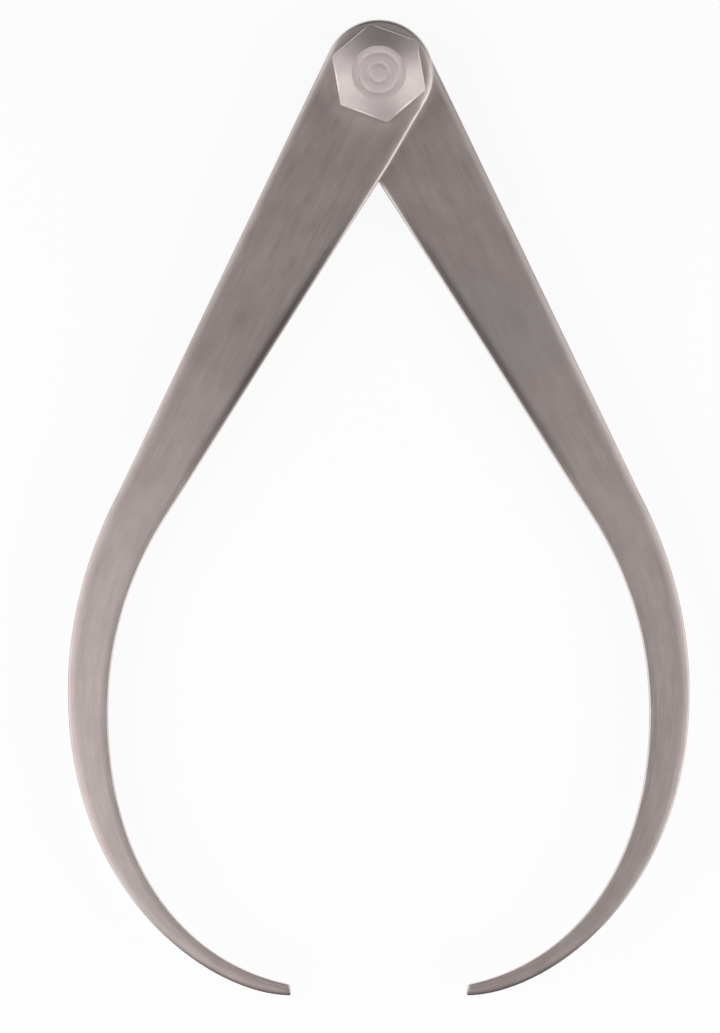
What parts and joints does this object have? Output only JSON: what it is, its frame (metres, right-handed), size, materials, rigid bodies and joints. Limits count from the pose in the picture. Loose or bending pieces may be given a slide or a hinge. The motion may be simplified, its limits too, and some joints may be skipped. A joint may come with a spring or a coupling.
{
  "type": "firm joint caliper",
  "caption": "Outside caliper with bowed flat legs on a friction joint, drawn together by a hex bolt, nut and washers.",
  "frame": {"origin": "on the joint's axis, at the rear face of the bolt's end, which lies flush in the nut", "axes": "+Z along the joint's axis towards the front of the bolt's head, +Y from the tips towards the joint, +X across the legs to the rear leg's side"},
  "size_m": [0.1014, 0.1591, 0.0152],
  "materials": {
    "leg_steel": "brushed along the leg",
    "bolt_steel": "turned, with fine rings",
    "bush_bronze": "bored and turned",
    "washer_fibre": "pressed fibre",
    "spring_steel": "tempered"
  },
  "bodies": {
    "front": {"front_leg": "leg_steel", "pivot_bolt": "bolt_steel", "pivot_bush": "bush_bronze", "front_washer": "washer_fibre", "leg_washer": "washer_fibre", "rear_washer": "washer_fibre", "spring_washer": "spring_steel"},
    "rear": {"rear_leg": "leg_steel"},
    "nut": {"pivot_nut": "bolt_steel"}
  },
  "joints": [
    {"name": "leg_swing", "type": "hinge", "parent": "front", "child": "rear", "pos_m": [0, 0, 0], "axis": [0, 0, 1], "range_deg": [-10.8, 250]},
    {"name": "nut_turn", "type": "hinge", "parent": "front", "child": "nut", "pos_m": [0, 0, 0], "axis": [0, 0, 1], "range_deg": [-30, 30]}
  ]
}
